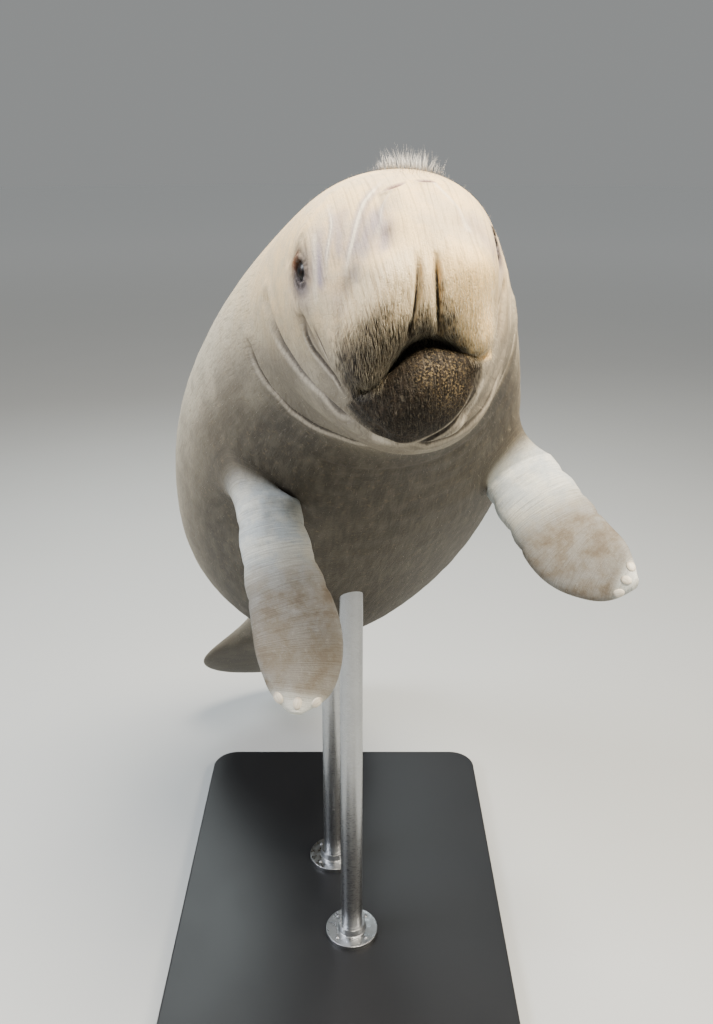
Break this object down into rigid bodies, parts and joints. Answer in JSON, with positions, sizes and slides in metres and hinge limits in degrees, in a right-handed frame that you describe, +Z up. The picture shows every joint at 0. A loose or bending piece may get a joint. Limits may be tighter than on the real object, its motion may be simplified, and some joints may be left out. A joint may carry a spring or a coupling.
{
  "type": "manatee model",
  "caption": "Life-size model of a young manatee swimming head up with a bristled muzzle, paddle flippers and a round tail, held by a plain display stand.",
  "frame": {"origin": "middle of the underside of the display stand's base", "axes": "+Z up; the face looks towards -Y, the tail trails towards +Y, and the animal's left is +X"},
  "size_m": [0.8248, 1.5398, 1.5859],
  "materials": {
    "hide": "wrinkled matte skin, warm grey-beige",
    "muzzle": "matte bristled skin, tan",
    "chin": "matte bristled skin, dark brown",
    "flipper": "matte skin, blue-grey with brown patches",
    "eye": "wet gloss, near black",
    "lid": "folded matte skin, brown grey",
    "nail": "horn, off white",
    "base": "black satin lacquer",
    "steel": "brushed"
  },
  "bodies": {
    "root": {"muzzle": "muzzle", "chin": "chin", "head": "hide", "neck": "hide", "torso": "hide", "tail_stock": "hide", "tail_paddle": "hide", "flipper_left": "flipper", "flipper_right": "flipper", "eye_left": "eye", "eye_right": "eye", "eyelids_left": "lid", "eyelids_right": "lid", "nail_left_1": "nail", "nail_left_2": "nail", "nail_left_3": "nail", "nail_right_1": "nail", "nail_right_2": "nail", "nail_right_3": "nail", "stand_base": "base", "stand_rod_front": "steel", "stand_rod_back": "steel", "stand_flange_front": "steel", "stand_flange_back": "steel"}
  },
  "joints": []
}
